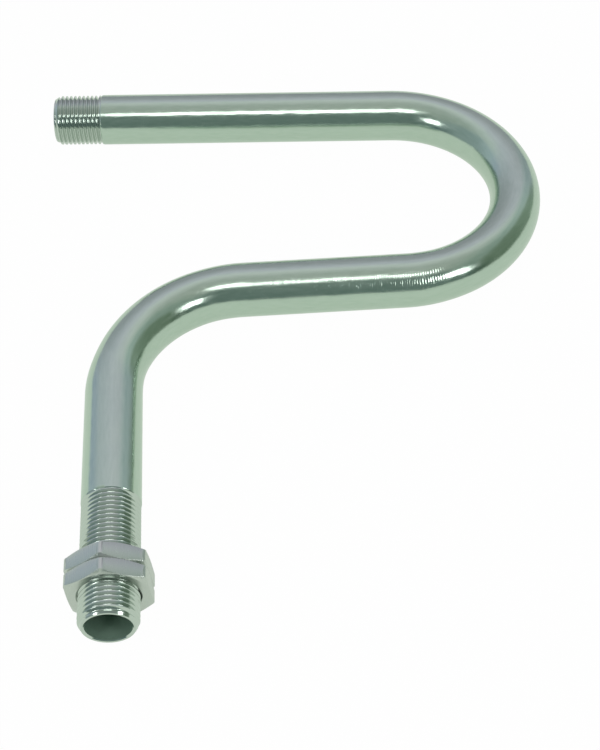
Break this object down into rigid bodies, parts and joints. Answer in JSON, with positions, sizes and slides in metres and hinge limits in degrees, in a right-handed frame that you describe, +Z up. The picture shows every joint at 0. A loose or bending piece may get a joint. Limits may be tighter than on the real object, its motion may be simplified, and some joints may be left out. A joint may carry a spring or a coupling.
{
  "type": "pressure gauge siphon",
  "caption": "Bent steel pipe with an elbow and a return bend, a long and a short pipe thread, and two hexagon locknuts, that shields a pressure gauge from hot steam.",
  "frame": {"origin": "centre of the process leg's end face, on the leg's axis", "axes": "the pipe's centreline lies in the XY plane: +Y runs up the process leg from its end face to the elbow, +X along the return run, and +Z is up, square to the plane that the siphon lies in"},
  "size_m": [0.2024, 0.2691, 0.0322],
  "materials": {
    "pipe_steel": "bright drawn stainless steel, smooth and reflective",
    "nut_steel": "satin machined stainless steel"
  },
  "bodies": {
    "tube": {"siphon_tube": "pipe_steel"},
    "outer_nut": {"outer_locknut": "nut_steel"},
    "inner_nut": {"inner_locknut": "nut_steel"}
  },
  "joints": [
    {"name": "outer_locknut_travel", "type": "slide", "parent": "tube", "child": "outer_nut", "axis": [0, 1, 0], "range_m": [-0.012, 0]},
    {"name": "inner_locknut_travel", "type": "slide", "parent": "tube", "child": "inner_nut", "axis": [0, 1, 0], "range_m": [0, 0.0255]}
  ]
}
